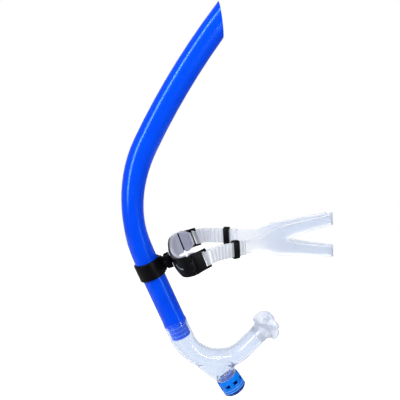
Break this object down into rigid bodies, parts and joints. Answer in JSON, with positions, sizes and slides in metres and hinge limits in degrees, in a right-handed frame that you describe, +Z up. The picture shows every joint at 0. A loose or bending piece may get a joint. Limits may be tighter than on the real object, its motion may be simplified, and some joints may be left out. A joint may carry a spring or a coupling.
{
  "type": "front-mount swim snorkel",
  "caption": "Bent breathing tube held in front of the face by a padded forehead bracket and split head strap, with a clear elbow, bite mouthpiece and purge valve",
  "frame": {"origin": "the point between the two bite lugs, where the swimmer's teeth hold it", "axes": "+Z up along the worn head and the tube's longest extent, +X back towards the swimmer's head, +Y to the swimmer's right across the bracket"},
  "size_m": [0.2296, 0.106, 0.4268],
  "materials": {
    "blue_tube": "glossy moulded tube",
    "blue_valve": "glossy tinted plastic",
    "clear_silicone": "clear soft silicone",
    "black_plastic": "satin moulded plastic",
    "grey_pad": "soft matt pad",
    "steel": "plain pin"
  },
  "bodies": {
    "tube_assembly": {"main_tube": "blue_tube", "silicone_elbow": "clear_silicone", "mouthpiece": "clear_silicone", "purge_seat": "blue_valve", "purge_cap": "blue_valve"},
    "flap": {"purge_flap": "clear_silicone"},
    "collar": {"clamp_collar": "black_plastic"},
    "bracket": {"neck_link": "black_plastic", "tilt_pin": "black_plastic", "bracket_frame": "black_plastic", "center_pad": "grey_pad", "left_fold_pin": "steel", "right_fold_pin": "steel", "head_strap": "clear_silicone"},
    "left_wing_body": {"left_wing": "black_plastic", "left_pad": "grey_pad"},
    "right_wing_body": {"right_wing": "black_plastic", "right_pad": "grey_pad"},
    "left_keeper_body": {"left_keeper": "black_plastic"},
    "right_keeper_body": {"right_keeper": "black_plastic"}
  },
  "joints": [
    {"name": "flap_lift", "type": "slide", "parent": "tube_assembly", "child": "flap", "axis": [0.5358, 0, -0.8443], "range_m": [0, 0.0015], "stiffness_N_per_m": 60, "springref_m": -0.0004},
    {"name": "collar_slide", "type": "slide", "parent": "tube_assembly", "child": "collar", "axis": [-0.3971, 0, 0.9178], "range_m": [-0.04, 0.003]},
    {"name": "bracket_tilt", "type": "hinge", "parent": "collar", "child": "bracket", "pos_m": [-0.11306, 0, 0.07349], "axis": [0, -1, 0], "range_deg": [-12, 25]},
    {"name": "left_fold", "type": "hinge", "parent": "bracket", "child": "left_wing_body", "pos_m": [-0.09195, -0.0508, 0.08155], "axis": [0.3567, 0, -0.9342], "range_deg": [-2, 40], "deforming": ["head_strap"]},
    {"name": "right_fold", "type": "hinge", "parent": "bracket", "child": "right_wing_body", "pos_m": [-0.09195, 0.0508, 0.08155], "axis": [-0.3567, 0, 0.9342], "range_deg": [-2, 40], "deforming": ["head_strap"]},
    {"name": "left_keeper_slide", "type": "slide", "parent": "bracket", "child": "left_keeper_body", "axis": [0.9051, 0.4226, 0.0459], "range_m": [-0.008, 0.008]},
    {"name": "right_keeper_slide", "type": "slide", "parent": "bracket", "child": "right_keeper_body", "axis": [0.9051, -0.4226, 0.0459], "range_m": [-0.008, 0.008]}
  ]
}
